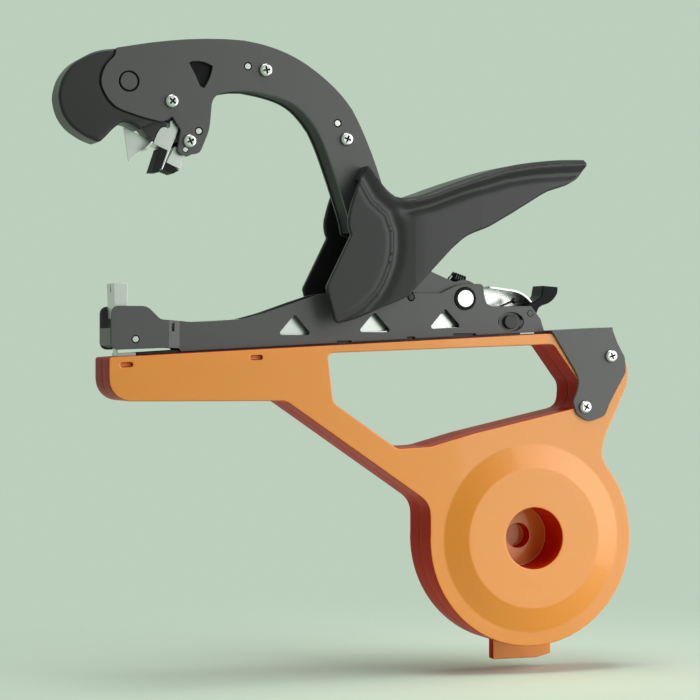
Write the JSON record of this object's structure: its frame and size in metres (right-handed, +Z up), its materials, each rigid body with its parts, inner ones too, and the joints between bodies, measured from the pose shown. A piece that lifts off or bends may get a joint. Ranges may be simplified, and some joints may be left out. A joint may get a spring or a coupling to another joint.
{
  "type": "plant tying tool",
  "caption": "Hand-held plant tying tool: goose-necked squeeze arm over a staple magazine, open finger loop and round tape roll casing.",
  "frame": {"origin": "middle of the finger opening, in the tool's mid-plane", "axes": "+X from the nose towards the rear, +Y to the hinged half of the casing, +Z up to the squeeze arm"},
  "size_m": [0.2523, 0.034, 0.2612],
  "materials": {
    "orange_casing": "satin moulding",
    "grey_steel": "satin grey coating",
    "black_plastic": "moulded",
    "grey_moulding": "satin moulding",
    "bright_steel": "bright",
    "black_steel": "black oxide",
    "black_rubber": "matt"
  },
  "bodies": {
    "frame": {"casing_near": "orange_casing", "frame_bracket": "grey_steel", "bracket_screw_upper": "bright_steel", "bracket_screw_lower": "bright_steel", "cover_hinge_pin": "bright_steel", "staple_driver": "bright_steel", "rear_pin": "black_steel", "spring_guard": "bright_steel", "rear_spring": "black_steel"},
    "cover": {"casing_far": "orange_casing"},
    "magazine": {"magazine_plate_near": "grey_steel", "magazine_plate_far": "grey_steel", "staple_rail": "bright_steel", "tape_outlet": "bright_steel", "nose_guide": "grey_steel", "nose_pin_near": "bright_steel", "nose_pin_far": "bright_steel", "plate_rivet_near": "bright_steel", "plate_rivet_far": "bright_steel", "main_pivot_pin": "bright_steel", "pivot_bush_near": "black_plastic", "pivot_bush_far": "black_plastic", "pusher_rod": "bright_steel", "pusher_spring": "bright_steel", "tab_pin": "bright_steel"},
    "pusher": {"staple_pusher": "black_plastic"},
    "tab": {"release_tab": "black_plastic"},
    "catcher": {"catcher_lever": "bright_steel", "catcher_pad": "black_rubber"},
    "arm": {"arm_plate_near": "grey_steel", "arm_plate_far": "grey_steel", "yoke_near": "grey_steel", "yoke_far": "grey_steel", "arm_core": "grey_moulding", "head_block": "grey_moulding", "grip": "grey_moulding", "head_plug": "black_plastic", "knife_holder": "black_plastic", "claw_pad": "black_rubber", "return_spring": "black_steel", "tape_knife": "bright_steel", "clincher": "bright_steel", "catcher_claw": "bright_steel", "catcher_pin": "bright_steel", "spring_rod": "bright_steel", "arm_screw_1": "bright_steel", "arm_screw_2": "bright_steel", "arm_screw_3": "bright_steel", "arm_screw_4": "bright_steel", "arm_nut_1": "bright_steel", "arm_nut_2": "bright_steel", "arm_nut_3": "bright_steel", "arm_nut_4": "bright_steel", "arm_pin_1": "bright_steel", "arm_pin_2": "bright_steel", "arm_pin_3": "bright_steel"}
  },
  "joints": [
    {"name": "magazine_tilt", "type": "hinge", "parent": "frame", "child": "magazine", "pos_m": [0.0271, 0, 0.032], "axis": [0, -1, 0], "range_deg": [0, 0.75], "stiffness_Nm_per_rad": 20, "springref_deg": -2.86},
    {"name": "arm_squeeze", "type": "hinge", "parent": "magazine", "child": "arm", "pos_m": [0.006, 0, 0.0418], "axis": [0, -1, 0], "range_deg": [0, 20], "stiffness_Nm_per_rad": 1.5, "springref_deg": -28.65},
    {"name": "catcher_swing", "type": "hinge", "parent": "arm", "child": "catcher", "pos_m": [-0.1165, 0, 0.1016], "axis": [0, -1, 0], "range_deg": [0, 12], "stiffness_Nm_per_rad": 0.1, "springref_deg": -28.65},
    {"name": "pusher_slide", "type": "slide", "parent": "magazine", "child": "pusher", "axis": [0.9987, 0, 0.0517], "range_m": [0, 0.09], "stiffness_N_per_m": 60, "springref_m": -0.05, "deforming": ["pusher_spring"]},
    {"name": "release_tab_tilt", "type": "hinge", "parent": "magazine", "child": "tab", "pos_m": [0.036, 0, 0.0356], "axis": [0, 1, 0], "range_deg": [0, 20], "stiffness_Nm_per_rad": 0.05, "springref_deg": -28.65},
    {"name": "cover_swing", "type": "hinge", "parent": "frame", "child": "cover", "pos_m": [0.0817, 0.009, 0.0102], "axis": [0, 0, -1], "range_deg": [0, 100]}
  ]
}
